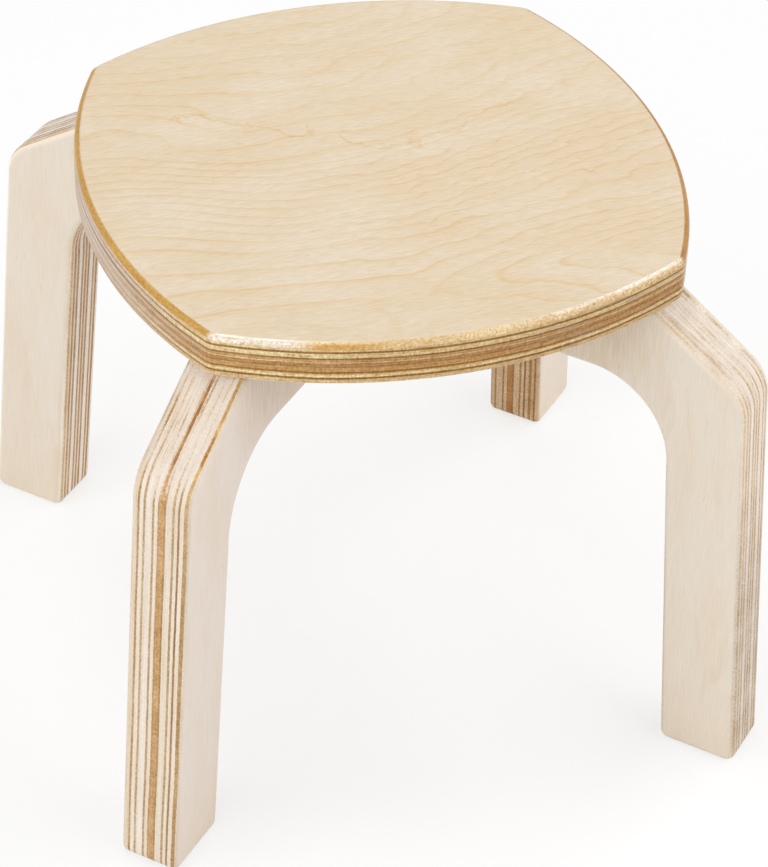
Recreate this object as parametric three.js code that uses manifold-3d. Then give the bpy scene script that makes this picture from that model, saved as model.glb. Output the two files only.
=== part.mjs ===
// Stacking stool in birch plywood, child size.
// Two arch frames cross at right angles in a halved joint and carry a square seat with bulged sides,
// one seat corner over each leg. Four socket screws come up through the crossbars into threaded
// inserts in the underside of the seat.
// Millimetres, +Z up. The origin is on the floor, under the middle of the seat. One frame stands
// along X and the other along Y.

import * as THREE from 'three';
import { mergeVertices } from 'three/addons/utils/BufferGeometryUtils.js';
import Module from 'manifold-3d';

const wasm = await Module();
wasm.setup();

// Whole stool
const STOOL_HEIGHT = 227;
const FRAME_THICKNESS = 25;
const SEAT_THICKNESS = 18;

// Seat outline: the width is taken between the middles of two opposite sides, and the bulge from the
// straight line between two corners to the middle of the side's arc
const SEAT_WIDTH = 229;
const SEAT_SIDE_BULGE = 23.4;
const SEAT_CORNER_RADIUS = 8;
const SEAT_TOP_ROUNDOVER = 3;
const SEAT_BOTTOM_ROUNDOVER = 1.5;

// Frame outline: spans are taken over both legs, and drops are taken down from the seat underside
const FOOT_SPAN = 353;
const SHOULDER_SPAN = 326;
const SHOULDER_DROP = 28;
const SHOULDER_RADIUS = 20;
const LEG_WIDTH = 32.6;
const CROSSBAR_DEPTH = 35;
const ARCH_CORNER_WIDTH = 34;
const ARCH_CORNER_HEIGHT = 36.5;
const FOOT_CORNER_RADIUS = 4;
const FRAME_ROUNDOVER = 3;
const SEAT_CORNER_OVERHANG = 6.5;

// Halved joint where the frames cross: the clearance is on every face of the slots
const HALVING_CLEARANCE = 0.3;

// Socket screws, washers and threaded inserts
const SCREW_PLACE_RADIUS = 70;
const SCREW_LENGTH = 35;
const SCREW_RADIUS = 3;
const SCREW_TIP_CHAMFER = 0.8;
const SCREW_HEAD_RADIUS = 5;
const SCREW_HEAD_HEIGHT = 6;
const SCREW_HEAD_CHAMFER = 0.6;
const SOCKET_WIDTH = 5;
const SOCKET_DEPTH = 3;
const WASHER_RADIUS = 6;
const WASHER_THICKNESS = 1.6;
const INSERT_RADIUS = 5;
const INSERT_FLANGE_RADIUS = 6;
const INSERT_FLANGE_THICKNESS = 1.2;
const INSERT_COVER = 4.7;

// Clearances round the hardware
const HOLE_CLEARANCE = 0.4;
const THREAD_CLEARANCE = 0.3;
const SCREW_TIP_GAP = 3;

// One overrun serves every cut that runs past a face
const CUT_OVERRUN = 2;

// Facets
const SIDE_ARC_STEPS = 22;
const SEAT_CORNER_STEPS = 6;
const ARCH_CORNER_STEPS = 16;
const SHOULDER_STEPS = 8;
const FOOT_CORNER_STEPS = 4;
const ROUNDOVER_STEPS = 3;
const ROUND_STEPS = 32;
const HEXAGON_STEPS = 6;

// Heights that several pieces share
const seatUnderside = STOOL_HEIGHT - SEAT_THICKNESS;
const archCrown = seatUnderside - CROSSBAR_DEPTH;
const insertPocketDepth = SEAT_THICKNESS - INSERT_COVER;
const screwTip = seatUnderside + insertPocketDepth - SCREW_TIP_GAP;
const screwHeadSeat = screwTip - SCREW_LENGTH;
const washerSeat = screwHeadSeat + WASHER_THICKNESS;

// Geometry to solid and back

function solidFrom(geometry) {
  const bare = geometry.index ? geometry.toNonIndexed() : geometry.clone();
  bare.deleteAttribute('normal');
  bare.deleteAttribute('uv');
  const merged = mergeVertices(bare);
  const index = merged.index.array;
  const corners = [];
  for (let i = 0; i < index.length; i += 3) {
    const [a, b, c] = [index[i], index[i + 1], index[i + 2]];
    if (a !== b && b !== c && c !== a) corners.push(a, b, c);
  }
  return new wasm.Manifold(new wasm.Mesh({
    numProp: 3,
    vertProperties: new Float32Array(merged.attributes.position.array),
    triVerts: new Uint32Array(corners),
  }));
}

function geometryFrom(solid) {
  const mesh = solid.getMesh();
  const geometry = new THREE.BufferGeometry();
  geometry.setAttribute('position', new THREE.BufferAttribute(new Float32Array(mesh.vertProperties), 3));
  geometry.setIndex(new THREE.BufferAttribute(new Uint32Array(mesh.triVerts), 1));
  geometry.computeVertexNormals();
  return geometry;
}

// Outlines, as lists of points that run anticlockwise

// Points of a round corner that touches the lines from before to corner and from corner to after.
function filletPoints(before, corner, after, radius, steps) {
  const back = before.clone().sub(corner).normalize();
  const ahead = after.clone().sub(corner).normalize();
  const bisector = back.clone().add(ahead).normalize();
  const halfAngle = Math.acos(back.dot(ahead)) / 2;
  const centre = corner.clone().addScaledVector(bisector, radius / Math.sin(halfAngle));
  const start = corner.clone().addScaledVector(back, radius / Math.tan(halfAngle)).sub(centre);
  const end = corner.clone().addScaledVector(ahead, radius / Math.tan(halfAngle)).sub(centre);
  const sweep = Math.atan2(start.cross(end), start.dot(end));
  const points = [];
  for (let i = 0; i <= steps; i++) {
    const turned = start.clone().rotateAround(new THREE.Vector2(), sweep * i / steps);
    points.push(turned.add(centre));
  }
  return points;
}

// The outline drawn in by a distance, with each point moved along the bisector of its corner.
function insetOutline(points, distance) {
  return points.map((point, i) => {
    const before = points[(i + points.length - 1) % points.length];
    const after = points[(i + 1) % points.length];
    const arriving = point.clone().sub(before).normalize();
    const leaving = after.clone().sub(point).normalize();
    const bisector = new THREE.Vector2(-arriving.y - leaving.y, arriving.x + leaving.x).normalize();
    const cosine = bisector.x * -leaving.y + bisector.y * leaving.x;
    return point.clone().addScaledVector(bisector, distance / cosine);
  });
}

// Steps of a quarter-round rim, from the flat face to the edge: how far each step lies in from the
// edge, and how far it lies from the flat face.
function roundoverSteps(radius) {
  const steps = [];
  for (let i = 0; i <= ROUNDOVER_STEPS; i++) {
    const angle = Math.PI / 2 * i / ROUNDOVER_STEPS;
    steps.push({ inset: radius * (1 - Math.sin(angle)), drop: radius * (1 - Math.cos(angle)) });
  }
  return steps;
}

// A board with the given outline from bottom to top, with a quarter-round on both rims.
function boardGeometry(outline, bottom, top, bottomRoundover, topRoundover) {
  const lower = roundoverSteps(bottomRoundover);
  const upper = roundoverSteps(topRoundover).reverse();
  const heights = [...lower.map((step) => bottom + step.drop), ...upper.map((step) => top - step.drop)];
  const rings = [...lower, ...upper].map((step) => insetOutline(outline, step.inset));
  const positions = [];
  rings.forEach((ring, level) => {
    ring.forEach((point) => positions.push(point.x, point.y, heights[level]));
  });
  const count = outline.length;
  const index = [];
  for (let level = 0; level + 1 < rings.length; level++) {
    for (let i = 0; i < count; i++) {
      const [a, b] = [level * count + i, level * count + (i + 1) % count];
      index.push(a, b, b + count, a, b + count, a + count);
    }
  }
  const lastRing = (rings.length - 1) * count;
  for (const [a, b, c] of THREE.ShapeUtils.triangulateShape(rings[0], [])) {
    index.push(a, c, b);
  }
  for (const [a, b, c] of THREE.ShapeUtils.triangulateShape(rings[rings.length - 1], [])) {
    index.push(lastRing + a, lastRing + b, lastRing + c);
  }
  const geometry = new THREE.BufferGeometry();
  geometry.setAttribute('position', new THREE.Float32BufferAttribute(positions, 3));
  geometry.setIndex(index);
  return geometry;
}

// An upright round or hexagonal bar between two heights, on the Z axis.
function barSolid(radius, bottom, top, steps = ROUND_STEPS) {
  const geometry = new THREE.CylinderGeometry(radius, radius, top - bottom, steps);
  geometry.rotateX(Math.PI / 2);
  geometry.translate(0, 0, (bottom + top) / 2);
  return solidFrom(geometry);
}

// A turned piece on the Z axis, from a list of radius and height pairs.
function turnedSolid(profile) {
  const points = profile.map(([radius, height]) => new THREE.Vector2(radius, height));
  const geometry = new THREE.LatheGeometry(points, ROUND_STEPS);
  geometry.rotateX(Math.PI / 2);
  return solidFrom(geometry);
}

// Seat panel

// Four arcs whose middles stand half the seat's width from the centre, with a small radius at each
// corner.
// The corners lie on the X and Y axes.
function seatOutline() {
  const sideReach = SEAT_WIDTH / 2;
  const halfChord = sideReach - SEAT_SIDE_BULGE;
  const arcRadius = (halfChord ** 2 + SEAT_SIDE_BULGE ** 2) / (2 * SEAT_SIDE_BULGE);
  const arcCentre = (arcRadius - sideReach) / Math.SQRT2;
  const filletReach = Math.sqrt((arcRadius - SEAT_CORNER_RADIUS) ** 2 - arcCentre ** 2) - arcCentre;
  const touchAngle = Math.atan2(arcCentre, filletReach + arcCentre);
  const points = [];
  for (let corner = 0; corner < 4; corner++) {
    const quarter = [];
    for (let i = 0; i <= SEAT_CORNER_STEPS; i++) {
      const angle = touchAngle * (2 * i / SEAT_CORNER_STEPS - 1);
      const [x, y] = [Math.cos(angle), Math.sin(angle)];
      quarter.push(new THREE.Vector2(filletReach + SEAT_CORNER_RADIUS * x, SEAT_CORNER_RADIUS * y));
    }
    for (let i = 1; i < SIDE_ARC_STEPS; i++) {
      const angle = touchAngle + (Math.PI / 2 - 2 * touchAngle) * i / SIDE_ARC_STEPS;
      const [x, y] = [Math.cos(angle), Math.sin(angle)];
      quarter.push(new THREE.Vector2(arcRadius * x - arcCentre, arcRadius * y - arcCentre));
    }
    for (const point of quarter) {
      points.push(point.rotateAround(new THREE.Vector2(), corner * Math.PI / 2));
    }
  }
  return { points, tipReach: filletReach + SEAT_CORNER_RADIUS };
}

const seatShape = seatOutline();

function seatPanelGeometry() {
  let seat = solidFrom(boardGeometry(seatShape.points, seatUnderside, STOOL_HEIGHT,
    SEAT_BOTTOM_ROUNDOVER, SEAT_TOP_ROUNDOVER));
  const pocket = barSolid(INSERT_RADIUS + THREAD_CLEARANCE, seatUnderside - CUT_OVERRUN,
    seatUnderside + insertPocketDepth);
  const flangePocket = barSolid(INSERT_FLANGE_RADIUS + THREAD_CLEARANCE, seatUnderside - CUT_OVERRUN,
    seatUnderside + INSERT_FLANGE_THICKNESS);
  for (let arm = 0; arm < 4; arm++) {
    const place = new THREE.Vector2(SCREW_PLACE_RADIUS, 0);
    place.rotateAround(new THREE.Vector2(), arm * Math.PI / 2);
    seat = seat.subtract(pocket.add(flangePocket).translate([place.x, place.y, 0]));
  }
  return geometryFrom(seat);
}

// Arch frames

// Outline of a frame seen from its broad side: x along the frame, y up from the floor.
function frameOutline() {
  const topReach = seatShape.tipReach - SEAT_CORNER_OVERHANG;
  const shoulderHeight = seatUnderside - SHOULDER_DROP;
  const springHeight = archCrown - ARCH_CORNER_HEIGHT;
  const splay = (FOOT_SPAN - SHOULDER_SPAN) / 2 / shoulderHeight;
  const outerAt = (height) => FOOT_SPAN / 2 - splay * height;
  const innerAt = (height) => outerAt(height) - LEG_WIDTH;

  const footInner = new THREE.Vector2(innerAt(0), 0);
  const footOuter = new THREE.Vector2(outerAt(0), 0);
  const shoulder = new THREE.Vector2(outerAt(shoulderHeight), shoulderHeight);
  const topEnd = new THREE.Vector2(topReach, seatUnderside);
  const spring = new THREE.Vector2(innerAt(springHeight), springHeight);

  const half = [];
  for (let i = 0; i <= ARCH_CORNER_STEPS; i++) {
    const angle = Math.PI / 2 * (1 - i / ARCH_CORNER_STEPS);
    half.push(new THREE.Vector2(spring.x - ARCH_CORNER_WIDTH * (1 - Math.cos(angle)),
      springHeight + ARCH_CORNER_HEIGHT * Math.sin(angle)));
  }
  half.push(...filletPoints(spring, footInner, footOuter, FOOT_CORNER_RADIUS, FOOT_CORNER_STEPS));
  half.push(...filletPoints(footInner, footOuter, shoulder, FOOT_CORNER_RADIUS, FOOT_CORNER_STEPS));
  half.push(...filletPoints(footOuter, shoulder, topEnd, SHOULDER_RADIUS, SHOULDER_STEPS));
  half.push(topEnd);
  const mirrored = half.map((point) => new THREE.Vector2(-point.x, point.y)).reverse();
  return half.concat(mirrored);
}

// Frame along X. The slot of the halved joint is cut from above or from below.
function frameGeometry(slotOpensUp) {
  const board = boardGeometry(frameOutline(), -FRAME_THICKNESS / 2, FRAME_THICKNESS / 2,
    FRAME_ROUNDOVER, FRAME_ROUNDOVER);
  board.rotateX(Math.PI / 2);
  let frame = solidFrom(board);

  const halfway = (archCrown + seatUnderside) / 2;
  const slotBottom = slotOpensUp ? halfway - HALVING_CLEARANCE / 2 : archCrown - CUT_OVERRUN;
  const slotTop = slotOpensUp ? seatUnderside + CUT_OVERRUN : halfway + HALVING_CLEARANCE / 2;
  const slot = new THREE.BoxGeometry(FRAME_THICKNESS + 2 * HALVING_CLEARANCE,
    FRAME_THICKNESS + 2 * CUT_OVERRUN, slotTop - slotBottom);
  slot.translate(0, 0, (slotBottom + slotTop) / 2);
  frame = frame.subtract(solidFrom(slot));

  const cutBottom = archCrown - CUT_OVERRUN;
  const hole = barSolid(SCREW_RADIUS + HOLE_CLEARANCE, cutBottom, seatUnderside + CUT_OVERRUN);
  const counterbore = barSolid(WASHER_RADIUS + HOLE_CLEARANCE, cutBottom, washerSeat);
  for (const side of [-1, 1]) {
    frame = frame.subtract(hole.add(counterbore).translate([side * SCREW_PLACE_RADIUS, 0, 0]));
  }
  return geometryFrom(frame);
}

// Hardware, each piece on the Z axis at its own height

// Socket head cap screw: the head is at the bottom and its hexagon socket opens downwards.
function screwGeometry() {
  const headBottom = screwHeadSeat - SCREW_HEAD_HEIGHT;
  const body = turnedSolid([
    [0, headBottom],
    [SCREW_HEAD_RADIUS - SCREW_HEAD_CHAMFER, headBottom],
    [SCREW_HEAD_RADIUS, headBottom + SCREW_HEAD_CHAMFER],
    [SCREW_HEAD_RADIUS, screwHeadSeat],
    [SCREW_RADIUS, screwHeadSeat],
    [SCREW_RADIUS, screwTip - SCREW_TIP_CHAMFER],
    [SCREW_RADIUS - SCREW_TIP_CHAMFER, screwTip],
    [0, screwTip],
  ]);
  const socketRadius = SOCKET_WIDTH / 2 / Math.cos(Math.PI / HEXAGON_STEPS);
  const socket = barSolid(socketRadius, headBottom - CUT_OVERRUN, headBottom + SOCKET_DEPTH, HEXAGON_STEPS);
  return geometryFrom(body.subtract(socket));
}

function washerGeometry() {
  const ring = barSolid(WASHER_RADIUS, screwHeadSeat, washerSeat);
  const hole = barSolid(SCREW_RADIUS + THREAD_CLEARANCE,
    screwHeadSeat - CUT_OVERRUN, washerSeat + CUT_OVERRUN);
  return geometryFrom(ring.subtract(hole));
}

// Flanged insert: its flange is flush with the seat underside, and its thread stops short of the
// pocket's end.
function insertGeometry() {
  const top = seatUnderside + insertPocketDepth - THREAD_CLEARANCE;
  const barrel = barSolid(INSERT_RADIUS, seatUnderside, top);
  const flange = barSolid(INSERT_FLANGE_RADIUS, seatUnderside, seatUnderside + INSERT_FLANGE_THICKNESS);
  const bore = barSolid(SCREW_RADIUS + THREAD_CLEARANCE, seatUnderside - CUT_OVERRUN, top + CUT_OVERRUN);
  return geometryFrom(barrel.add(flange).subtract(bore));
}

// Finishes: lacquered birch, zinc-plated steel and plain steel
const finishes = {
  seatVeneer: { color: 0xead3aa, roughness: 0.38, metalness: 0 },
  frameVeneer: { color: 0xe6d9c8, roughness: 0.45, metalness: 0 },
  zinc: { color: 0xb9bcc0, roughness: 0.3, metalness: 1 },
  steel: { color: 0x8f9194, roughness: 0.4, metalness: 1 },
};

function namedMesh(name, geometry, finish) {
  const mesh = new THREE.Mesh(geometry, new THREE.MeshStandardMaterial(finish));
  mesh.name = name;
  return mesh;
}

// A frame with the hardware of its two arms, as it goes together on the bench.
function frameGroup(frameName, slotOpensUp, armNames) {
  const group = new THREE.Group();
  group.add(namedMesh(frameName, frameGeometry(slotOpensUp), finishes.frameVeneer));
  armNames.forEach((armName, i) => {
    const pieces = [
      namedMesh(`screw_${armName}`, screwGeometry(), finishes.zinc),
      namedMesh(`washer_${armName}`, washerGeometry(), finishes.zinc),
      namedMesh(`insert_${armName}`, insertGeometry(), finishes.steel),
    ];
    for (const piece of pieces) {
      piece.position.x = (i === 0 ? -1 : 1) * SCREW_PLACE_RADIUS;
      group.add(piece);
    }
  });
  return group;
}

const stool = new THREE.Group();
stool.add(namedMesh('seat_panel', seatPanelGeometry(), finishes.seatVeneer));
stool.add(frameGroup('frame_left_right', true, ['left', 'right']));

const crossingFrame = frameGroup('frame_front_back', false, ['front', 'back']);
crossingFrame.rotation.z = Math.PI / 2;
stool.add(crossingFrame);

export default stool;
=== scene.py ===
"""Child's stacking stool in lacquered birch plywood: two arch frames halved together under a square
seat with bulged sides, held by four socket screws. Lengths are in metres, +Z up, floor at zero."""

import math

import bpy
import numpy as np
from mathutils import Matrix, Vector


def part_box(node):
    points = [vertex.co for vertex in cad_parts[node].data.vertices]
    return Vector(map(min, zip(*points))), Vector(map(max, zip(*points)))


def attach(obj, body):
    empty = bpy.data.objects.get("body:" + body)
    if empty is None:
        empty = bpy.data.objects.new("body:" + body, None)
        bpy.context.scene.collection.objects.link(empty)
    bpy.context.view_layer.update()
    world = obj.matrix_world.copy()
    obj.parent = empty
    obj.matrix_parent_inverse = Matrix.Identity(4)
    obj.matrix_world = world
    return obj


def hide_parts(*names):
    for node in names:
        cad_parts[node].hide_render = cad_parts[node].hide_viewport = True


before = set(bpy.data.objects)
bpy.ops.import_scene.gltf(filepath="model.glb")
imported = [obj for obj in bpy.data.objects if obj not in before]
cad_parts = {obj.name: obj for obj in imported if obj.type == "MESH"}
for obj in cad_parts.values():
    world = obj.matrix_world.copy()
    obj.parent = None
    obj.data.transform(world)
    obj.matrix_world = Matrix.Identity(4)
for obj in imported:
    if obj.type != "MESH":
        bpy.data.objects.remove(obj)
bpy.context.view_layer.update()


# Viewpoint
# The stool is seen from above its front left quarter and 1.3 m away, through a long lens that leans a
# little over two degrees.
VIEW_AZIMUTH = math.radians(26.605)
VIEW_ELEVATION = math.radians(39.002)
VIEW_ROLL = math.radians(2.268)
VIEW_DISTANCE = 1.3185
VIEW_TARGET = Vector((0.0316, -0.04915, 0.139))
VIEW_LENS = 141.78

level_right = Vector((math.cos(VIEW_AZIMUTH), math.sin(VIEW_AZIMUTH), 0))
backward = Vector((
    math.sin(VIEW_AZIMUTH) * math.cos(VIEW_ELEVATION),
    -math.cos(VIEW_AZIMUTH) * math.cos(VIEW_ELEVATION),
    math.sin(VIEW_ELEVATION),
))
level_up = backward.cross(level_right)
picture_right = level_right * math.cos(VIEW_ROLL) + level_up * math.sin(VIEW_ROLL)
picture_up = level_up * math.cos(VIEW_ROLL) - level_right * math.sin(VIEW_ROLL)
camera = bpy.data.objects.new("camera", bpy.data.cameras.new("camera"))
camera.data.lens = VIEW_LENS
camera.matrix_world = (
    Matrix.Translation(VIEW_TARGET + backward * VIEW_DISTANCE)
    @ Matrix((picture_right, picture_up, backward)).transposed().to_4x4()
)
bpy.context.scene.collection.objects.link(camera)
bpy.context.scene.camera = camera


# Arch frames
# Two boards of 25 mm birch plywood, cut to the same arch with every edge rounded over. They cross at
# right angles: one is slotted from above and the other from below, each by half the crossbar's depth.
FOOT_REACH = 0.17648
SHOULDER_REACH = 0.163
SHOULDER_DROP = 0.028
SHOULDER_RADIUS = 0.020
LEG_WIDTH = 0.0326
CROSSBAR_DEPTH = 0.035
ARCH_CORNER_WIDTH = 0.034
ARCH_CORNER_HEIGHT = 0.0365
FOOT_CORNER_RADIUS = 0.004
SEAT_CORNER_OVERHANG = 0.0065
FRAME_ROUNDOVER = 0.003
HALVING_CLEARANCE = 0.0003
SCREW_PLACE_RADIUS = 0.070
SCREW_HOLE_RADIUS = 0.0034
COUNTERBORE_RADIUS = 0.0064
CUT_OVERRUN = 0.002
SMOOTH_ANGLE = math.radians(30)
HOLE_COLUMNS = 64

seat_low, seat_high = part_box("seat_panel")
seat_underside = seat_low.z
half_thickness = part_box("frame_left_right")[1].y
washer_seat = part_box("washer_left")[1].z
arch_crown = seat_underside - CROSSBAR_DEPTH


def round_corner(before, corner, after, radius, steps):
    """Arc that touches both lines of a corner. Its centre is on the bisector, at the radius over the
    sine of half the corner's angle, and it turns from one touching point to the other."""
    back = (before - corner) / np.linalg.norm(before - corner)
    ahead = (after - corner) / np.linalg.norm(after - corner)
    half_angle = np.arccos(back @ ahead) / 2
    bisector = (back + ahead) / np.linalg.norm(back + ahead)
    centre = corner + bisector * radius / np.sin(half_angle)
    start = corner + back * radius / np.tan(half_angle) - centre
    end = corner + ahead * radius / np.tan(half_angle) - centre
    sweep = np.arctan2(start[0] * end[1] - start[1] * end[0], start @ end)
    turn = np.linspace(0, sweep, steps + 1)[:, None]
    return centre + np.cos(turn) * start + np.sin(turn) * np.array((-start[1], start[0]))


def arch_outline(arch_steps=48, shoulder_steps=24, foot_steps=12):
    """Outline of a frame, along it and up. Half of it runs from the crown down the quarter ellipse,
    round the foot, up the splayed leg, round the shoulder and up the slope to the seat, and the other
    half is its mirror image."""
    shoulder_height = seat_underside - SHOULDER_DROP
    spring_height = arch_crown - ARCH_CORNER_HEIGHT
    splay = (FOOT_REACH - SHOULDER_REACH) / shoulder_height
    foot_outer = np.array((FOOT_REACH, 0))
    foot_inner = foot_outer - (LEG_WIDTH, 0)
    shoulder = np.array((SHOULDER_REACH, shoulder_height))
    spring = np.array((FOOT_REACH - splay * spring_height - LEG_WIDTH, spring_height))
    seat_end = np.array((seat_high.x - SEAT_CORNER_OVERHANG, seat_underside))
    turn = np.linspace(math.pi / 2, 0, arch_steps + 1)
    arch_corner = np.stack((
        ARCH_CORNER_WIDTH * (np.cos(turn) - 1),
        ARCH_CORNER_HEIGHT * np.sin(turn),
    ), axis=1)
    half = np.concatenate((
        spring + arch_corner,
        round_corner(spring, foot_inner, foot_outer, FOOT_CORNER_RADIUS, foot_steps),
        round_corner(foot_inner, foot_outer, shoulder, FOOT_CORNER_RADIUS, foot_steps),
        round_corner(foot_outer, shoulder, seat_end, SHOULDER_RADIUS, shoulder_steps),
        seat_end[None],
    ))
    return np.concatenate((half, half[::-1] * (-1, 1)))


def drawn_in(outline, insets):
    """The outline drawn in by each inset: every point moves along the bisector of its corner, by the
    inset over the cosine between that bisector and the edge's normal."""
    arriving = outline - np.roll(outline, 1, axis=0)
    arriving /= np.linalg.norm(arriving, axis=1)[:, None]
    leaving = np.roll(arriving, -1, axis=0)
    inward = np.stack((-arriving[:, 1] - leaving[:, 1], arriving[:, 0] + leaving[:, 0]), axis=1)
    inward /= np.linalg.norm(inward, axis=1)[:, None]
    cosine = inward[:, 1] * leaving[:, 0] - inward[:, 0] * leaving[:, 1]
    return outline + inward / cosine[:, None] * insets[:, None, None]


def skin(name, rings, capped=True):
    """Piece with a quad between all neighbours of a grid of rings. Each end is closed by a flat face,
    or else the last ring joins the first."""
    rows, columns = rings.shape[:2]
    index = np.arange(rows * columns).reshape(rows, columns)
    lower = index[:-1] if capped else index
    upper = index[1:] if capped else np.roll(index, -1, axis=0)
    quads = np.stack((lower, np.roll(lower, -1, axis=1), np.roll(upper, -1, axis=1), upper), axis=2)
    faces = quads.reshape(-1, 4).tolist()
    if capped:
        faces += [index[0, ::-1].tolist(), index[-1].tolist()]
    mesh = bpy.data.meshes.new(name)
    mesh.from_pydata(rings.reshape(-1, 3).tolist(), [], faces)
    piece = bpy.data.objects.new(name, mesh)
    bpy.context.scene.collection.objects.link(piece)
    return piece


def board(name, outline, low, high, low_roundover, high_roundover, axes, rim_steps=12):
    """Board with the given outline and a quarter-round on both rims: at angle u a ring is drawn in by
    radius times (1 - sin u) and lies radius times (1 - cos u) from the broad face."""
    turn = np.linspace(0, math.pi / 2, rim_steps + 1)
    drop, inset = 1 - np.cos(turn), 1 - np.sin(turn)
    heights = np.concatenate((low + low_roundover * drop, high - high_roundover * drop[::-1]))
    insets = np.concatenate((low_roundover * inset, high_roundover * inset[::-1]))
    flat = drawn_in(outline, insets)
    level = np.broadcast_to(heights[:, None, None], (*flat.shape[:2], 1))
    return skin(name, np.concatenate((flat, level), axis=2) @ np.array(axes, float))


def full_turn(columns):
    """The angles of a ring's points."""
    return np.arange(columns) * 2 * math.pi / columns


def turned(profile, columns, groove=0.0):
    """Surface turned on the Z axis: a profile point (r, z) lies at (r cos u, r sin u, z) for each angle
    u, once r is made less by the groove there."""
    turn = full_turn(columns)
    radius = profile[:, :1] - groove * np.ones(columns)
    height = profile[:, 1:] * np.ones(columns)
    return np.stack((radius * np.cos(turn), radius * np.sin(turn), height), axis=2)


def cut(piece, cutter):
    """Takes the cutter's shape out of the piece."""
    modifier = piece.modifiers.new("cut", "BOOLEAN")
    modifier.solver = "EXACT"
    modifier.object = cutter
    bpy.context.view_layer.update()
    cut_piece = piece.evaluated_get(bpy.context.evaluated_depsgraph_get())
    piece.data = bpy.data.meshes.new_from_object(cut_piece)
    piece.modifiers.clear()
    bpy.data.objects.remove(cutter)


def smooth(piece):
    """Rounded stretches shade smoothly, true corners stay sharp, and flat faces stay flat."""
    piece.data.shade_smooth()
    piece.data.set_sharp_from_angle(angle=SMOOTH_ANGLE)
    flat_faces = piece.modifiers.new("flat_faces", "WEIGHTED_NORMAL")
    flat_faces.keep_sharp = True


def arch_frame(name, axes, slot_low, slot_high):
    """Arch frame with its half of the crossing's slot and its two screw holes, each opened out from
    below for the washer and the screw's head."""
    piece = board(name, arch_outline(), -half_thickness, half_thickness,
                  FRAME_ROUNDOVER, FRAME_ROUNDOVER, axes)
    half_slot = half_thickness + HALVING_CLEARANCE
    corners = np.array(((-1, -1), (1, -1), (1, 1), (-1, 1))) * half_slot
    slot = np.stack([
        np.column_stack((corners, np.full(len(corners), height))) for height in (slot_low, slot_high)])
    cut(piece, skin("slot", slot))
    hole = np.array((
        (COUNTERBORE_RADIUS, arch_crown - CUT_OVERRUN),
        (COUNTERBORE_RADIUS, washer_seat),
        (SCREW_HOLE_RADIUS, washer_seat),
        (SCREW_HOLE_RADIUS, seat_underside + CUT_OVERRUN),
    ))
    for side in (-1, 1):
        place = np.array(axes[0]) * side * SCREW_PLACE_RADIUS
        cut(piece, skin("hole", turned(hole, HOLE_COLUMNS) + place))
    smooth(piece)
    return piece


halving_height = (arch_crown + seat_underside) / 2
arch_left_right = arch_frame(
    "arch_left_right", ((1, 0, 0), (0, 0, 1), (0, -1, 0)),
    halving_height - HALVING_CLEARANCE / 2, seat_underside + CUT_OVERRUN)
arch_front_back = arch_frame(
    "arch_front_back", ((0, 1, 0), (0, 0, 1), (1, 0, 0)),
    arch_crown - CUT_OVERRUN, halving_height + HALVING_CLEARANCE / 2)


class Wire:
    """An output socket of a material's nodes, to be written in sums: 1 - wire * 2 adds the Math nodes
    that work it out."""

    def __init__(self, tree, socket=None):
        self.tree = tree
        self.socket = socket

    def node(self, kind, settings, inputs, output=0):
        """Any node: its type, its settings, the values or links of its sockets, and its output."""
        made = self.tree.nodes.new("ShaderNode" + kind)
        for name, value in settings.items():
            if name == "stops":
                set_stops(made.color_ramp, value)
            else:
                setattr(made, name, value)
        for name, value in inputs.items():
            if isinstance(value, Wire):
                self.tree.links.new(value.socket, made.inputs[name])
            else:
                made.inputs[name].default_value = value
        return Wire(self.tree, made.outputs[output]) if made.outputs else None

    def math(self, operation, second=0.0):
        """A Math node on this value, and on a second one if its operation takes two."""
        return self.node("Math", {"operation": operation}, {0: self, 1: second})

    def __add__(self, other):
        return self.math("ADD", other)

    def __sub__(self, other):
        return self.math("SUBTRACT", other)

    def __rsub__(self, other):
        return self.node("Math", {"operation": "SUBTRACT"}, {0: other, 1: self})

    def __mul__(self, other):
        return self.math("MULTIPLY", other)

    def __truediv__(self, other):
        return self.math("DIVIDE", other)

    def __abs__(self):
        return self.math("ABSOLUTE")

    __radd__, __rmul__ = __add__, __mul__

    def between(self, low, high):
        """0 below low, 1 above high, and an even S-curve between them."""
        limits = {"Value": self, "From Min": low, "From Max": high}
        return self.node("MapRange", {"interpolation_type": "SMOOTHSTEP"}, limits)

    def mix(self, low, high):
        """Colour that goes from low to high as this value goes from 0 to 1."""
        return self.node("Mix", {"data_type": "RGBA"}, {0: self, 6: low, 7: high}, output=2)

    def dot(self, direction):
        """How far this place or direction reaches along another direction."""
        return self.node("VectorMath", {"operation": "DOT_PRODUCT"}, {0: self, 1: direction}, output=1)

    def place(self, second, third):
        """Place with this value and two more as its coordinates."""
        return self.node("CombineXYZ", {}, {0: self, 1: second, 2: third})

    def noise(self, detail):
        """Soft noise at a place, about zero, with features about one unit apart."""
        return self.node("TexNoise", {}, {"Vector": self, "Scale": 1.0, "Detail": detail}) * 2 - 1

    def tinted(self, colour):
        """This colour times another."""
        return self.node("VectorMath", {"operation": "MULTIPLY"}, {0: self, 1: colour})

    def shaded(self, factor):
        """This colour times a value that tells least on red and most on blue, as wood darkens."""
        return self.tinted((factor * 0.65 + 0.35).place(factor, factor * 1.5 - 0.5))


def set_stops(ramp, stops):
    """Stops of a colour ramp, as places and colours, each of which holds until the next."""
    ramp.interpolation = "CONSTANT"
    ramp.elements.remove(ramp.elements[1])
    ramp.elements[0].position, ramp.elements[0].color = stops[0]
    for place, colour in stops[1:]:
        ramp.elements.new(place).color = colour


def tone(red, green, blue):
    """Linear colour from a colour as seen, each part from 0 to 255."""
    seen = np.array((red, green, blue)) / 255
    return (*(((seen + 0.055) / 1.055) ** 2.4).tolist(), 1.0)


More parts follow.
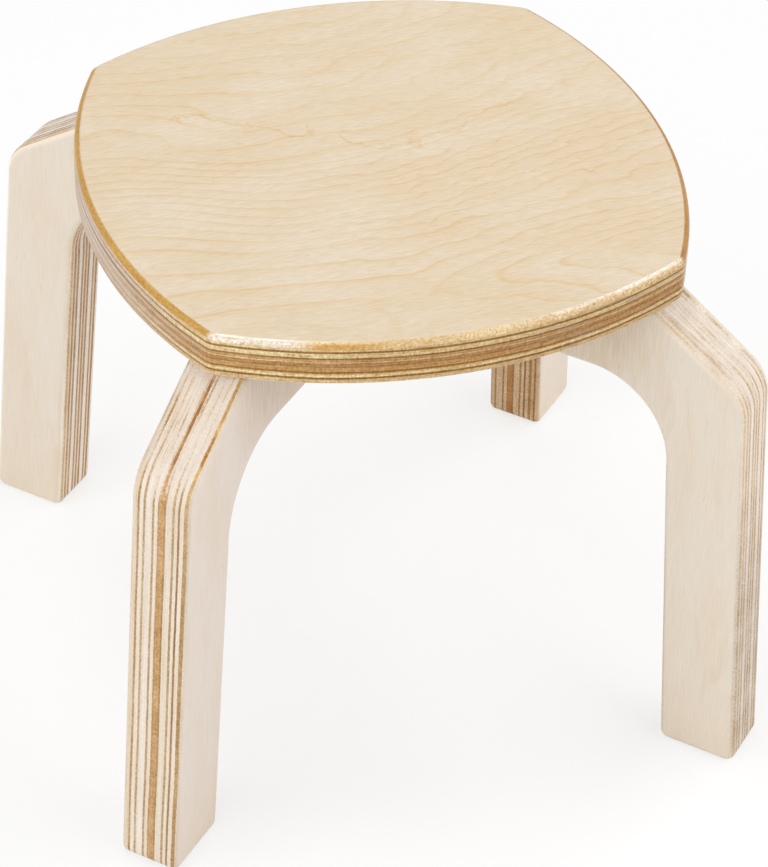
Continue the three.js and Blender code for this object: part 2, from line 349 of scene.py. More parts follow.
def new_material(name):
    """Material with no nodes yet, and the wire that its nodes are made from."""
    material = bpy.data.materials.new(name)
    material.use_nodes = True
    material.node_tree.nodes.clear()
    return material, Wire(material.node_tree)


def finished(wires, settings, height, depth):
    """The surface's shader, with a relief of the given depth, joined to the material's output."""
    settings["Normal"] = wires.node("Bump", {}, {"Height": height, "Distance": depth})
    shader = wires.node("BsdfPrincipled", {}, settings)
    wires.node("OutputMaterial", {}, {"Surface": shader})


MILLIMETRES = 1000.0
RED = (1.0, 0.0, 0.0)
GREEN = (0.0, 1.0, 0.0)
BLUE = (0.0, 0.0, 1.0)


class Board:
    """Places and directions in a board of plywood, in millimetres from its middle: with the grain of
    its face, across that grain, and through its plies."""

    def __init__(self, wires, grain, across, through, middle=0.0):
        place = wires.node("TexCoord", {}, {}, output="Object")
        normal = wires.node("TexCoord", {}, {}, output="Normal")
        self.grain = place.dot(Vector(grain) * MILLIMETRES)
        self.across = place.dot(Vector(across) * MILLIMETRES)
        self.through = place.dot(Vector(through) * MILLIMETRES) - middle * MILLIMETRES
        self.faces_grain = normal.dot(grain)
        self.faces_across = normal.dot(across)
        self.faces_through = normal.dot(through)

    def noise(self, grain, across, through, detail=2.0):
        """Noise whose features have the given sizes with the grain, across it and through it."""
        return (self.grain / grain).place(self.across / across, self.through / through).noise(detail)

    def flecks(self, length, width, spacing, share):
        """Short dashes along the grain, one in each cell of a scattered pattern, and a share of them
        left out."""
        place = (self.grain / (length * spacing)).place(self.across / (width * spacing), 0.0)
        distance = place.node("TexVoronoi", {}, {"Vector": place, "Scale": 1.0})
        chance = place.node("TexVoronoi", {}, {"Vector": place, "Scale": 1.0}, output="Color")
        kept = chance.dot(RED).between(share - 0.05, share + 0.05)
        return (1 - distance.between(0.25 / spacing, 0.5 / spacing)) * kept

    def plies(self, layup, half_thickness, drift=0.0):
        """Colour of the cut edge from the plies, as thickness and colour, from the lower face up. The
        glue lines wander a little along the board, and their edges are ragged."""
        thickness = sum(ply for ply, colour in layup)
        wander = self.noise(45.0, 45.0, 30.0) * 0.4 + self.noise(1.6, 1.6, 3.0) * 0.15
        depths = np.cumsum([0] + [ply for ply, colour in layup[:-1]]) / thickness
        stops = [(depth, tone(*colour)) for depth, (ply, colour) in zip(depths.tolist(), layup)]
        place = (self.through + half_thickness * MILLIMETRES + wander + drift) / thickness
        return place.node("ValToRGB", {"stops": stops}, {"Fac": place})


LACQUER = {"Specular IOR Level": 0.1, "Coat Roughness": 0.17}
EDGE_LACQUER = 0.25
FACE_LACQUER = 0.35
GRAIN_RELIEF = 0.00012
RING_SPACING = 11.0
FACE_CREAM = (233, 222, 207)
FACE_PINK = (233, 220, 209)
FACE_WARM = (228, 208, 180)
FACE_LINE = (219, 194, 154)
FLECK = (200, 160, 106)
EDGE_STREAK = (205, 172, 126)
EDGE_PALE = (218, 201, 181)
EDGE_GOLD = (214, 156, 78)
UNSHADED = (1.0, 1.0, 1.0, 1.0)
# Painted shade for the low part of each frame's far leg, warm brown on the back leg
LEFT_RIGHT_FAR_SHADE = (0.80, 0.79, 0.78, 1.0)
FRONT_BACK_FAR_SHADE = (0.76, 0.62, 0.46, 1.0)

FRONT_BACK_PLIES = (
    (1.1, (222, 204, 182)), (2.2, (230, 210, 184)), (0.9, (186, 154, 116)), (1.7, (238, 223, 202)),
    (0.8, (196, 166, 130)), (2.9, (237, 224, 208)), (0.9, (188, 156, 118)), (1.4, (236, 219, 197)),
    (0.7, (184, 150, 112)), (1.9, (202, 158, 106)), (0.8, (178, 142, 100)), (2.6, (234, 219, 198)),
    (1.0, (190, 160, 120)), (1.4, (236, 221, 202)), (0.8, (168, 130, 86)), (1.6, (236, 221, 202)),
    (1.3, (190, 154, 108)), (1.3, (224, 208, 186)), (0.8, (180, 140, 96)), (2.0, (226, 208, 184)),
)
FRONT_BACK_SLOPE_PLIES = (
    (2.2, (214, 196, 173)), (10.6, (229, 215, 200)), (1.1, (154, 99, 46)), (9.1, (230, 217, 203)),
    (1.0, (195, 154, 92)), (4.2, (229, 214, 196)),
)
LEFT_RIGHT_PLIES = (
    (1.3, (246, 232, 212)), (1.0, (216, 184, 144)), (0.9, (248, 228, 198)), (1.4, (188, 150, 114)),
    (1.0, (248, 224, 194)), (1.5, (190, 152, 118)), (2.2, (251, 240, 226)), (1.3, (184, 147, 113)),
    (1.1, (248, 224, 194)), (1.3, (186, 150, 116)), (1.0, (248, 222, 190)), (1.4, (182, 144, 108)),
    (2.5, (251, 239, 224)), (1.2, (186, 150, 116)), (1.1, (249, 223, 188)), (1.4, (181, 142, 104)),
    (1.2, (254, 242, 228)), (1.0, (206, 176, 144)), (1.2, (254, 244, 232)),
)
LEFT_RIGHT_SLOPE_PLIES = (
    (1.3, (222, 205, 184)), (3.2, (223, 209, 193)), (1.0, (215, 200, 184)), (14.5, (225, 213, 200)),
    (1.6, (208, 188, 160)), (2.2, (233, 222, 208)), (1.2, (226, 210, 190)),
)


def frame_plywood(name, across, through, veneer, plies, slope_plies, drift, plain_arm, fade, far_shade):
    """Lacquered birch plywood with upright face grain. The legs' edges show every ply, the darker ones
    gritty because their grain runs into the edge. The plies drift by a share of the way from the near
    foot. On the far leg, the right or back one, they fade, and low down painted shade darkens them,
    warm brown on the back leg. The slopes cut the plies so flat that they pale to streaks, most of all
    on the plain arm, which is the far one for 1 and the near one for -1. The broad faces show veneer,
    with coarser grain under the seat, where painted shade also darkens it."""
    material, wires = new_material(name)
    wood = Board(wires, (0, 0, 1), across, through)
    streaks = wood.noise(45.0, 45.0, 0.6, 3.0)
    bands = wood.noise(25.0, 25.0, 1.6)
    grit = wood.noise(0.9, 0.9, 0.8, 1.0)
    dashes = wood.noise(10.0, 10.0, 0.5, 1.0)
    patches = wood.noise(12.0, 12.0, 12.0, 1.0)

    # The legs' edges
    far_end = wood.across.between(0, 140)
    far_foot = far_end * (1 - wood.grain.between(70, 160))
    shift = (wood.across + FOOT_REACH * MILLIMETRES) * drift
    leg = (far_end * fade).mix(wood.plies(plies, half_thickness, shift), tone(*EDGE_PALE))
    leg = (far_foot * wood.through.between(8.6, 9.4) * fade * 2).mix(leg, tone(*EDGE_PALE))
    # Low on the far leg the edge is darkened by painted shade, warm brown on the back leg
    leg = leg.tinted(far_foot.mix(UNSHADED, far_shade))

    # The slopes, with gold in their dark glue lines
    slope = wood.plies(slope_plies, half_thickness, shift)
    dark_lines = 1 - slope.dot(BLUE).between(0.05, 0.3)
    golden = dark_lines * wood.noise(9.0, 9.0, 9.0).between(-0.1, 0.3)
    slope = (golden * 0.7).mix(slope, tone(*EDGE_GOLD))
    slope = ((streaks * 0.7 + dashes * 0.7).between(0.0, 0.45) * 0.5).mix(slope, tone(*EDGE_STREAK))

    # From leg to slope round the shoulder, and what the grain does to both
    slant = (abs(wood.faces_grain) + bands * 0.5 + grit * 0.12).between(0.25, 0.95)
    slant = slant * (0.50 + (wood.across * plain_arm).between(80, 110) * 0.42)
    edge = slant.mix(leg, slope)
    end_grain = 1 - edge.dot(GREEN).between(0.35, 0.70)
    uneven = grit * 0.5 + patches * (0.4 + slant * 1.6)
    edge = edge.shaded(1 + streaks * 0.25 + bands * 0.14 + grit * 0.14 + end_grain * uneven)

    # The broad faces
    rings = (wood.across / RING_SPACING + wood.noise(85.0, 24.0, 60.0) * 2.2).math("FRACT")
    ring_lines = rings.between(0.5, 0.95) * (1 - rings.between(0.95, 1.0))
    ring_lines = ring_lines * wood.noise(50.0, 30.0, 60.0).between(-0.2, 0.6) * 0.2
    warmth = wood.noise(60.0, 14.0, 60.0).between(-0.3, 0.7) * 0.45
    warmth = warmth + (1 - wood.grain.between(0, 70)) * 0.35
    face = warmth.mix(tone(*veneer), tone(*FACE_WARM))
    face = ring_lines.mix(face, tone(*FACE_LINE))
    face = (wood.flecks(length=4.0, width=0.5, spacing=3.0, share=0.7) * 0.25).mix(face, tone(*FLECK))
    fibres = wood.noise(12.0, 0.6, 4.0)
    # Right under the seat the faces are darkened by painted shade, and their fibres show more
    painted_shade_under_seat = (1 - abs(wood.across).between(105, 138)) * wood.grain.between(160, 195)
    face = face.shaded(1 + fibres * (0.09 + painted_shade_under_seat * 0.15) - painted_shade_under_seat * 0.14)

    broad = abs(wood.faces_through).between(0.75, 0.97)
    relief = broad * fibres * 0.3 + (1 - broad) * (streaks * 0.8 + grit)
    finished(wires, {
        "Base Color": broad.mix(edge, face),
        "Roughness": 0.42 + (1 - broad) * 0.08 + fibres * 0.05,
        "Coat Weight": EDGE_LACQUER + broad * (FACE_LACQUER - EDGE_LACQUER),
        **LACQUER,
    }, relief, GRAIN_RELIEF)
    return material


arch_left_right.data.materials.append(frame_plywood(
    "birch_plywood_left_right", (1, 0, 0), (0, 1, 0),
    FACE_CREAM, LEFT_RIGHT_PLIES, LEFT_RIGHT_SLOPE_PLIES,
    drift=0.0, plain_arm=1.0, fade=0.45, far_shade=LEFT_RIGHT_FAR_SHADE))
arch_front_back.data.materials.append(frame_plywood(
    "birch_plywood_front_back", (0, 1, 0), (1, 0, 0),
    FACE_PINK, FRONT_BACK_PLIES, FRONT_BACK_SLOPE_PLIES,
    drift=0.0092, plain_arm=-1.0, fade=0.0, far_shade=FRONT_BACK_FAR_SHADE))
for piece, node in ((arch_left_right, "frame_left_right"), (arch_front_back, "frame_front_back")):
    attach(piece, "root")
    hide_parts(node)


# Threaded inserts
# Four flanged steel inserts with a coarse thread outside and an M6 thread inside. Each is screwed into
# a pocket in the seat, until its flange is level with the seat's underside.
ARMS = ("left", "right", "front", "back")
INSERT_FLANGE_RADIUS = 0.006
INSERT_FLANGE_THICKNESS = 0.0012
INSERT_BARREL_RADIUS = 0.005
INSERT_THREAD_PITCH = 0.0025
INSERT_THREAD_DEPTH = 0.0007
INSERT_BORE_RADIUS = 0.0033
INSERT_BORE_THREAD_DEPTH = 0.0003
INSERT_EDGE_RADIUS = 0.0002
SCREW_THREAD_PITCH = 0.001
HARDWARE_COLUMNS = 96
THREAD_ROWS = 8
EDGE_STEPS = 4

insert_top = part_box("insert_left")[1].z
flange_top = seat_underside + INSERT_FLANGE_THICKNESS


def screw_place(arm):
    """Place on the floor right under an arm's screw, washer and insert."""
    low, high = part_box("insert_" + arm)
    return np.array(((low.x + high.x) / 2, (low.y + high.y) / 2, 0))


def thread_groove(height, pitch, depth):
    """Depth of a V thread at each height and angle. Along a helix of the given pitch it goes evenly
    from nothing at the crest to its full depth halfway to the next one, and it runs out at both
    ends."""
    turns = height[:, None] / pitch - full_turn(HARDWARE_COLUMNS) / (2 * math.pi)
    run_out = np.clip(np.minimum(height - height.min(), height.max() - height) / pitch, 0, 1)
    return depth * (1 - abs(2 * (turns % 1) - 1)) * run_out[:, None]


def rounded_corners(corners, radius):
    """Profile of a turned ring: every corner becomes an arc."""
    corners = np.array(corners)
    before, after = np.roll(corners, 1, axis=0), np.roll(corners, -1, axis=0)
    return np.concatenate([
        round_corner(*three, radius, EDGE_STEPS) for three in zip(before, corners, after)])


def threaded_insert(arm):
    """Closed loop round the insert's section: the flange, the barrel's outer thread going up, the top,
    and the bore's thread going down."""
    flange = rounded_corners((
        (INSERT_BORE_RADIUS, seat_underside),
        (INSERT_FLANGE_RADIUS, seat_underside),
        (INSERT_FLANGE_RADIUS, flange_top),
        (INSERT_BORE_RADIUS, flange_top),
    ), INSERT_EDGE_RADIUS)[:3 * (EDGE_STEPS + 1)]
    outer = np.arange(flange_top, insert_top - INSERT_EDGE_RADIUS, INSERT_THREAD_PITCH / THREAD_ROWS)
    inner = np.arange(insert_top - INSERT_EDGE_RADIUS, seat_underside + INSERT_EDGE_RADIUS,
                      -SCREW_THREAD_PITCH / THREAD_ROWS)
    barrel = np.column_stack((np.full(len(outer), INSERT_BARREL_RADIUS), outer))
    top = (
        (INSERT_BARREL_RADIUS - INSERT_EDGE_RADIUS, insert_top),
        (INSERT_BORE_RADIUS + INSERT_EDGE_RADIUS, insert_top),
    )
    bore = np.column_stack((np.full(len(inner), INSERT_BORE_RADIUS), inner))
    groove = np.concatenate((
        np.zeros((len(flange), HARDWARE_COLUMNS)),
        thread_groove(outer, INSERT_THREAD_PITCH, INSERT_THREAD_DEPTH),
        np.zeros((len(top), HARDWARE_COLUMNS)),
        -thread_groove(inner, SCREW_THREAD_PITCH, INSERT_BORE_THREAD_DEPTH),
    ))
    profile = np.concatenate((flange, barrel, top, bore))
    loop = turned(profile, HARDWARE_COLUMNS, groove) + screw_place(arm)
    return skin("threaded_insert_" + arm, loop, capped=False)


PATCH_SIZE = 3.0
LATHE_RING_LENGTH = 2.0
LATHE_RING_HEIGHT = 0.06
LATHE_RELIEF = 0.00001


def steel(name, colour, tarnish, roughness):
    """Turned steel: bare metal with faint patches of another tint, and the fine rings that the lathe
    left round it. Sizes in it are in millimetres."""
    material, wires = new_material(name)
    place = wires.node("TexCoord", {}, {}, output="Object")
    side, depth, height = (place.dot(Vector(axis) * MILLIMETRES) for axis in np.eye(3))
    patches = (side / PATCH_SIZE).place(depth / PATCH_SIZE, height / PATCH_SIZE).noise(3.0)
    rings = (side / LATHE_RING_LENGTH).place(depth / LATHE_RING_LENGTH, height / LATHE_RING_HEIGHT)
    rings = rings.noise(2.0)
    finished(wires, {
        "Base Color": patches.between(-0.4, 0.5).mix(tone(*colour), tone(*tarnish)),
        "Metallic": 1.0,
        "Roughness": roughness + patches * 0.10 + rings * 0.05,
    }, rings, LATHE_RELIEF)
    return material


insert_steel = steel("plain_steel", colour=(186, 188, 190), tarnish=(170, 166, 160), roughness=0.36)
for arm in ARMS:
    piece = threaded_insert(arm)
    smooth(piece)
    piece.data.materials.append(insert_steel)
    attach(piece, "root")
    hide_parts("insert_" + arm)


# Seat
# A board of 18 mm birch plywood with four bulged sides and a corner over each leg. Its top rim has the
# larger roundover, and four blind pockets in its underside take the threaded inserts.
SEAT_WIDTH = 0.229
SEAT_SIDE_BULGE = 0.0234
SEAT_CORNER_RADIUS = 0.008
SEAT_TOP_ROUNDOVER = 0.003
SEAT_BOTTOM_ROUNDOVER = 0.0015
INSERT_GAP = 0.0003


def seat_outline(corner_steps=20, side_steps=60):
    """Square outline with its corners on the axes. Each side is an arc whose middle is half the seat's
    width from the centre, and each corner is a small arc that touches the two sides beside it."""
    reach = SEAT_WIDTH / 2
    half_chord = reach - SEAT_SIDE_BULGE
    arc_radius = (half_chord ** 2 + SEAT_SIDE_BULGE ** 2) / (2 * SEAT_SIDE_BULGE)
    arc_centre = (arc_radius - reach) / math.sqrt(2)
    corner_place = math.sqrt((arc_radius - SEAT_CORNER_RADIUS) ** 2 - arc_centre ** 2) - arc_centre
    touch = math.atan2(arc_centre, corner_place + arc_centre)
    corner = np.linspace(-touch, touch, corner_steps + 1)
    side = np.linspace(touch, math.pi / 2 - touch, side_steps + 1)[1:-1]
    quarter = np.concatenate((
        SEAT_CORNER_RADIUS * np.exp(1j * corner) + corner_place,
        arc_radius * np.exp(1j * side) - arc_centre * (1 + 1j),
    ))
    points = (np.array((1, 1j, -1, -1j))[:, None] * quarter).ravel()
    return np.stack((points.real, points.imag), axis=1)


seat_board = board("seat_board", seat_outline(), seat_underside, seat_high.z,
                   SEAT_BOTTOM_ROUNDOVER, SEAT_TOP_ROUNDOVER, np.eye(3))
pocket = np.array((
    (INSERT_FLANGE_RADIUS + INSERT_GAP, seat_underside - CUT_OVERRUN),
    (INSERT_FLANGE_RADIUS + INSERT_GAP, flange_top),
    (INSERT_BARREL_RADIUS + INSERT_GAP, flange_top),
    (INSERT_BARREL_RADIUS + INSERT_GAP, insert_top + INSERT_GAP),
))
for arm in ARMS:
    cut(seat_board, skin("pocket", turned(pocket, HOLE_COLUMNS) + screw_place(arm)))
smooth(seat_board)

SEAT_VENEER = (225, 209, 185)
SEAT_WARM = (222, 202, 172)
SEAT_LINE = (216, 180, 118)
SEAT_RIM = (220, 192, 144)
SEAT_RIM_PALE_HIGHLIGHT = (234, 220, 202)
SEAT_RIM_GOLD = (206, 148, 66)
SEAT_RIM_SPOT = (184, 136, 72)
SEAT_RIM_END = (198, 153, 80)
SEAT_BROWN = (176, 130, 72)
SEAT_SHEEN_STREAK = (136, 112, 102)
POINTS_PLACE = 84.0
POINTS_BLUNTNESS = 4.0
SEAM_PLACE = 44.0
SEAT_PLIES_ALONG = (
    (0.9, (218, 198, 164)), (1.6, (206, 172, 118)), (0.9, (140, 98, 48)), (1.1, (222, 194, 142)),
    (0.6, (200, 160, 100)), (0.8, (146, 100, 46)), (1.8, (188, 142, 84)), (0.8, (160, 118, 70)),
    (1.2, (172, 128, 76)), (0.5, (210, 176, 122)), (1.0, (188, 142, 88)), (0.8, (148, 106, 58)),
    (1.9, (216, 188, 136)), (0.9, (150, 104, 50)), (1.0, (212, 182, 128)), (2.1, (216, 188, 142)),
)
SEAT_PLIES_ENDWISE = (
    (1.5, (206, 184, 162)), (1.0, (188, 158, 130)), (1.6, (204, 180, 156)), (1.4, (188, 160, 133)),
    (2.2, (205, 181, 157)), (1.6, (190, 163, 136)), (1.8, (206, 183, 160)), (1.3, (150, 122, 100)),
    (1.6, (208, 185, 163)), (1.2, (180, 150, 126)), (0.8, (208, 184, 158)), (2.0, (186, 156, 120)),
)


def seat_plywood():
    """Lacquered birch plywood, its grain at 45 degrees to the frames. The two sides along the grain
    show brown and pale plies and a speckled golden rim. The two across it are paler, and their rim is
    golden on one side and brown on the other. The top shows rotary-cut veneer: wavy growth lines that
    crowd together across its middle and turn back in nested points near one corner, and a ragged seam
    that crosses them."""
    material, wires = new_material("birch_plywood_seat")
    diagonal = math.sqrt(0.5)
    middle = (seat_underside + seat_high.z) / 2
    wood = Board(wires, (diagonal, diagonal, 0), (-diagonal, diagonal, 0), (0, 0, 1), middle)
    grain, over = wood.grain, wood.across
    streaks = wood.noise(30.0, 30.0, 0.6, 3.0)
    bands = wood.noise(22.0, 22.0, 2.0)
    grit = wood.noise(1.5, 1.5, 0.6, 1.0)
    ticks = wood.noise(0.8, 0.8, 1.8, 1.0)
    dashes = wood.noise(6.0, 6.0, 0.5, 1.0)

    # The sides, by whether they face along the grain, and so show its ends, or across it
    along, across = abs(wood.faces_grain), abs(wood.faces_across)
    facing = (along - across) / (along + across + 0.001)
    endwise, end_rim = facing.between(-0.2, 0.95), facing.between(-0.1, 0.3)
    half_board = (seat_high.z - seat_underside) / 2
    long_side = wood.plies(SEAT_PLIES_ALONG, half_board).shaded(1.14 - grain.between(-75, -15) * 0.17)
    # Grey streaks over the plies on one half of the board are a painted reflection
    painted_sheen = (streaks + bands + ticks * 0.6).between(0.05, 0.4) * grain.between(0, 50) * 0.6
    long_side = painted_sheen.mix(long_side, tone(*SEAT_SHEEN_STREAK))
    end_side = wood.plies(SEAT_PLIES_ENDWISE, half_board)
    end_side = ((1 - over.between(-95, -35)) * 0.7).mix(end_side, long_side)
    edge = endwise.mix(long_side, end_side)
    fine = (grit * 0.5 + ticks * 0.6 + dashes * 0.45) * (0.9 - endwise * 0.5)
    rough = streaks * 0.4 + bands * 0.2 + fine
    edge = edge.shaded(1.02 + rough)

    # The top rim, rounded through the face veneer: golden and full of pores, paler near one corner
    # where it is worn and carries a painted highlight, and with a painted highlight along its top edge
    # on the other half
    rim = (wood.through - end_rim * 0.4).between(6.4, 7.0)
    upper_rim = wood.through.between(8.1, 8.6)
    gold = grain.between(-66, -54) * (1 - grain.between(-44, -20)) * (1 - upper_rim) * 0.8
    worn_and_highlight = (1 - grain.between(-66, -54)) * 0.9 + grain.between(0, 50) * upper_rim * 0.9
    rim_colour = worn_and_highlight.mix(gold.mix(tone(*SEAT_RIM), tone(*SEAT_RIM_GOLD)), tone(*SEAT_RIM_PALE_HIGHLIGHT))
    pores = (wood.noise(0.8, 0.8, 0.8, 1.0) + grain * 0.0012).between(0.0, 0.4)
    pores = pores * (0.5 - upper_rim * 0.35)
    rim_colour = pores.mix(rim_colour, tone(*SEAT_RIM_SPOT))
    rim_colour = rim_colour.shaded(1 + ticks * 0.4 - grain.between(0, 60) * (1 - upper_rim) * 0.13)
    end_colour = wood.faces_grain.between(-0.3, 0.3).mix(tone(*SEAT_RIM_END), tone(*SEAT_BROWN))
    rim_colour = end_rim.mix(rim_colour, end_colour).shaded(1 + grit * 0.4 + bands * 0.3)
    edge = rim.mix(edge, rim_colour)

    # The growth lines' course: bent at both ends of the board, and folded back at the nested points
    climb = (1 - grain.between(-105, -36)) * 19 + (grain + 5).math("MAXIMUM", 0.0) * 0.26
    flow = over - climb * (0.3 + over.between(-90, -5) * 0.7)
    from_points = flow + POINTS_PLACE + wood.noise(16.0, 12.0, 60.0) * 5
    folded = (from_points * from_points + POINTS_BLUNTNESS ** 2).math("SQRT") - POINTS_PLACE
    flow = flow + (folded - flow) * grain.between(-70, 25)
    flow = flow - (grain + 10).math("MAXIMUM", 0.0) * (1 - over.between(-84, -44)) * 0.5

    # The lines themselves: closer together across the middle, and darkest where each ring ends
    crowd = (flow - 6).math("MINIMUM", 0.0).math("MAXIMUM", -54.0)
    lines = flow / RING_SPACING + crowd * 0.10
    waves = wood.noise(80.0, 34.0, 60.0, 1.0) + wood.noise(30.0, 14.0, 60.0, 1.0) * 0.25
    rings = (lines + waves * (0.6 + over.between(-10, 40))).math("FRACT")
    ring_lines = rings.between(0.3, 0.9) * 0.35 + rings.between(0.76, 0.92) * 0.65
    ring_lines = ring_lines * (1 - rings.between(0.92, 1.0))
    ring_lines = ring_lines * wood.noise(70.0, 22.0, 60.0).between(-0.8, 0.35)
    quiet = (1 - over.between(-95, -70)) * (1 - grain.between(-5, 30)) * 0.6
    ring_lines = ring_lines * (1 - over.between(0, 30) * 0.35 - quiet)

    # The seam, in three bends
    seam = over - SEAM_PLACE + grain.between(-62, -24) * 17 + grain.between(-26, 6) * 20
    seam = seam - grain.between(12, 84) * 24
    seam = abs(seam + wood.noise(11.0, 14.0, 60.0, 3.0) * 12).between(0.2, 1.4)
    seam_line = (1 - seam) * wood.noise(14.0, 14.0, 60.0).between(-0.4, 0.3)
    seam_line = seam_line * (1 - abs(grain).between(70, 95))

    # The veneer that carries them
    warmth = wood.noise(60.0, 26.0, 60.0).between(-0.4, 0.4)
    top = warmth.mix(tone(*SEAT_VENEER), tone(*SEAT_WARM))
    strength = 0.48 + (1 - grain.between(-60, 20)) * 0.16
    top = (ring_lines * strength + seam_line * 0.6).mix(top, tone(*SEAT_LINE))
    top = (wood.flecks(length=1.8, width=0.8, spacing=6.0, share=0.5) * 0.4).mix(top, tone(*FLECK))
    fibres = wood.noise(5.0, 0.6, 4.0)
    top = top.shaded(1 + fibres * 0.18)

    broad = abs(wood.faces_through).between(0.93, 0.995)
    relief = broad * fibres * 0.3 + (1 - broad) * (streaks * 0.8 + grit + ticks * rim)
    polished_rim = (1 - broad) * rim * (1 - end_rim) * (1 - pores) * (1 - EDGE_LACQUER)
    finished(wires, {
        "Base Color": broad.mix(edge, top),
        "Roughness": 0.40 + fibres * 0.05,
        "Coat Weight": EDGE_LACQUER + broad * (FACE_LACQUER - EDGE_LACQUER) + polished_rim,
        **LACQUER,
    }, relief, GRAIN_RELIEF)
    return material


seat_board.data.materials.append(seat_plywood())
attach(seat_board, "root")
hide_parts("seat_panel")


# Washers and screws
# Four bright zinc-plated M6 socket head cap screws, each with a flat washer. They come up through the
# crossbars from below and pull the seat down on both frames.
WASHER_RADIUS = 0.006
WASHER_HOLE_RADIUS = 0.0033
SCREW_LENGTH = 0.035
SCREW_RADIUS = 0.003
SCREW_TIP_CHAMFER = 0.0008
SCREW_THREAD_LENGTH = 0.024
SCREW_THREAD_DEPTH = 0.0006
SCREW_NECK_FILLET = 0.0003
SCREW_HEAD_RADIUS = 0.005
SCREW_HEAD_CHAMFER = 0.0006
SOCKET_WIDTH = 0.005
SOCKET_DEPTH = 0.003
SOCKET_MOUTH_DEPTH = 0.0002
KNURL_DEPTH = 0.00012

washer_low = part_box("washer_left")[0].z
screw_low, screw_high = (corner.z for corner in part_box("screw_left"))


def washer(arm):
    """Flat ring whose edges are rounded as they come from the press."""
    profile = rounded_corners((
        (WASHER_HOLE_RADIUS, washer_low),
        (WASHER_RADIUS, washer_low),
        (WASHER_RADIUS, washer_seat),
        (WASHER_HOLE_RADIUS, washer_seat),
    ), INSERT_EDGE_RADIUS)
    ring = turned(profile, HARDWARE_COLUMNS) + screw_place(arm)
    return skin("flat_washer_" + arm, ring, capped=False)


def socket_screw(arm):
    """Screw from its socket's floor, down and out of the socket, up the head's knurled side, in to the
    neck, up the plain shank and the thread, and in to the tip. The socket's radius at angle u is that
    of a hexagon: half its width over the cosine of the angle to the middle of the flat. The knurl
    lowers every second column of the head's side."""
    head_seat = screw_high - SCREW_LENGTH
    socket_corner = SOCKET_WIDTH / 2 / math.cos(math.pi / 6)
    turn = full_turn(HARDWARE_COLUMNS)
    flat = socket_corner - SOCKET_WIDTH / 2 / np.cos(turn % (math.pi / 3) - math.pi / 6)
    knurl = KNURL_DEPTH * (np.arange(HARDWARE_COLUMNS) % 2)
    plain = np.zeros(HARDWARE_COLUMNS)
    rows = (
        (socket_corner, screw_low + SOCKET_DEPTH, flat),
        (socket_corner, screw_low + SOCKET_MOUTH_DEPTH, flat),
        (socket_corner + SOCKET_MOUTH_DEPTH, screw_low, plain),
        (SCREW_HEAD_RADIUS - SCREW_HEAD_CHAMFER, screw_low, plain),
        (SCREW_HEAD_RADIUS, screw_low + SCREW_HEAD_CHAMFER, plain),
        (SCREW_HEAD_RADIUS, screw_low + SCREW_HEAD_CHAMFER + KNURL_DEPTH, knurl),
        (SCREW_HEAD_RADIUS, head_seat - SCREW_NECK_FILLET - KNURL_DEPTH, knurl),
        (SCREW_HEAD_RADIUS, head_seat - SCREW_NECK_FILLET, plain),
        (SCREW_HEAD_RADIUS - SCREW_NECK_FILLET, head_seat, plain),
        (SCREW_RADIUS + SCREW_NECK_FILLET, head_seat, plain),
        (SCREW_RADIUS, head_seat + SCREW_NECK_FILLET, plain),
    )
    thread = np.arange(screw_high - SCREW_THREAD_LENGTH, screw_high, SCREW_THREAD_PITCH / THREAD_ROWS)
    chamfer = np.clip(thread - screw_high + SCREW_TIP_CHAMFER, 0, None)
    groove = np.maximum(
        thread_groove(thread, SCREW_THREAD_PITCH, SCREW_THREAD_DEPTH), chamfer[:, None])
    profile = np.concatenate((
        np.array([(radius, height) for radius, height, shape in rows]),
        np.column_stack((np.full(len(thread), SCREW_RADIUS), thread)),
        ((SCREW_RADIUS - SCREW_TIP_CHAMFER, screw_high),),
    ))
    groove = np.concatenate((np.stack([shape for radius, height, shape in rows]), groove, plain[None]))
    return skin("socket_screw_" + arm, turned(profile, HARDWARE_COLUMNS, groove) + screw_place(arm))


zinc_plate = steel("bright_zinc_plate", colour=(214, 217, 222), tarnish=(206, 208, 206), roughness=0.24)
for arm in ARMS:
    for piece, node in ((washer(arm), "washer_" + arm), (socket_screw(arm), "screw_" + arm)):
        smooth(piece)
        piece.data.materials.append(zinc_plate)
        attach(piece, "root")
        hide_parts(node)


# Floor and light
# A pale seamless floor, a soft box above the stool and a small one behind it, wide panels at its front
# left and on its right, and an even white surround.
FLOOR_REACH = 6.0
FLOOR_COLOUR = (0.78, 0.78, 0.78, 1.0)
FLOOR_SEEN_COLOUR = (0.32, 0.32, 0.32, 1.0)
FLOOR_SEEN_GLOW = 0.68
SURROUND_LIGHT = 0.40

floor = bpy.data.objects.new("floor", bpy.data.meshes.new("floor"))
floor.data.from_pydata(
    [(-FLOOR_REACH, -FLOOR_REACH, 0), (FLOOR_REACH, -FLOOR_REACH, 0),
     (FLOOR_REACH, FLOOR_REACH, 0), (-FLOOR_REACH, FLOOR_REACH, 0)], [], [(0, 1, 2, 3)])
bpy.context.scene.collection.objects.link(floor)


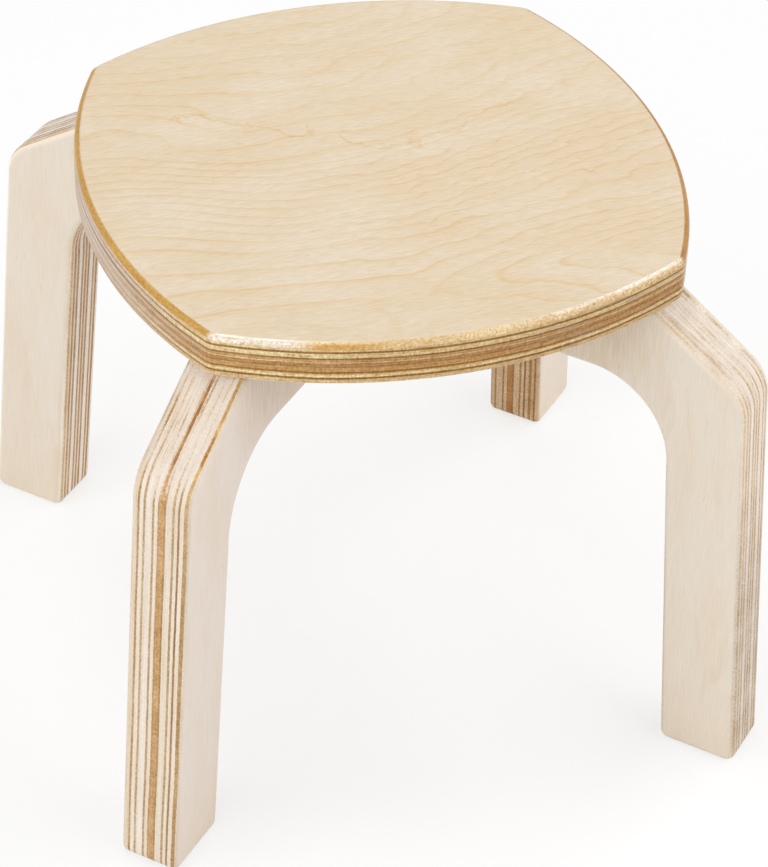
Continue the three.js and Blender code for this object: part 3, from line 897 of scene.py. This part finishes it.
def seen_directly(wires):
    """1 for what the camera, a reflection or clear material sees, and 0 for light that bounces."""
    camera_ray, glossy_ray, clear_ray = (
        wires.node("LightPath", {}, {}, output=ray)
        for ray in ("Is Camera Ray", "Is Glossy Ray", "Is Transmission Ray"))
    return camera_ray.math("MAXIMUM", glossy_ray.math("MAXIMUM", clear_ray))


floor_material, wires = new_material("floor")
bounce = wires.node("BsdfDiffuse", {}, {"Color": FLOOR_COLOUR})
matt = wires.node("BsdfDiffuse", {}, {"Color": FLOOR_SEEN_COLOUR})
glow = wires.node("Emission", {}, {"Strength": FLOOR_SEEN_GLOW})
seen = wires.node("AddShader", {}, {0: matt, 1: glow})
surface = wires.node("MixShader", {}, {0: seen_directly(wires), 1: bounce, 2: seen})
wires.node("OutputMaterial", {}, {"Surface": surface})
floor.data.materials.append(floor_material)

world = bpy.data.worlds.new("surround")
bpy.context.scene.world = world
world.use_nodes = True
world.node_tree.nodes.clear()
wires = Wire(world.node_tree)
strength = seen_directly(wires) * (1 - SURROUND_LIGHT) + SURROUND_LIGHT
background = wires.node("Background", {}, {"Strength": strength})
wires.node("OutputWorld", {}, {"Surface": background})


def soft_box(name, direction, distance, width, height, power):
    """Rectangular light at a distance in a direction from the seat, facing it."""
    light = bpy.data.lights.new(name, "AREA")
    light.shape = "RECTANGLE"
    light.size, light.size_y = width, height
    light.energy = power
    lamp = bpy.data.objects.new(name, light)
    towards = Vector(direction).normalized()
    lamp.location = Vector((0, 0, seat_underside)) + towards * distance
    lamp.rotation_euler = towards.to_track_quat("Z", "Y").to_euler()
    bpy.context.scene.collection.objects.link(lamp)


soft_box("soft_box_above", (-0.15, 0.0, 0.98), distance=1.3, width=0.6, height=0.18, power=4.0)
soft_box("soft_box_behind", (0.22, 0.53, 0.81), distance=1.3, width=0.3, height=0.2, power=1.75)
soft_box("panel_front_left", (-0.28, -0.86, 0.42), distance=3.0, width=3.8, height=3.0, power=64.5)
soft_box("panel_right", (0.83, 0.28, 0.48), distance=3.0, width=3.8, height=3.0, power=64.0)

bpy.context.scene.view_settings.view_transform = "Standard"
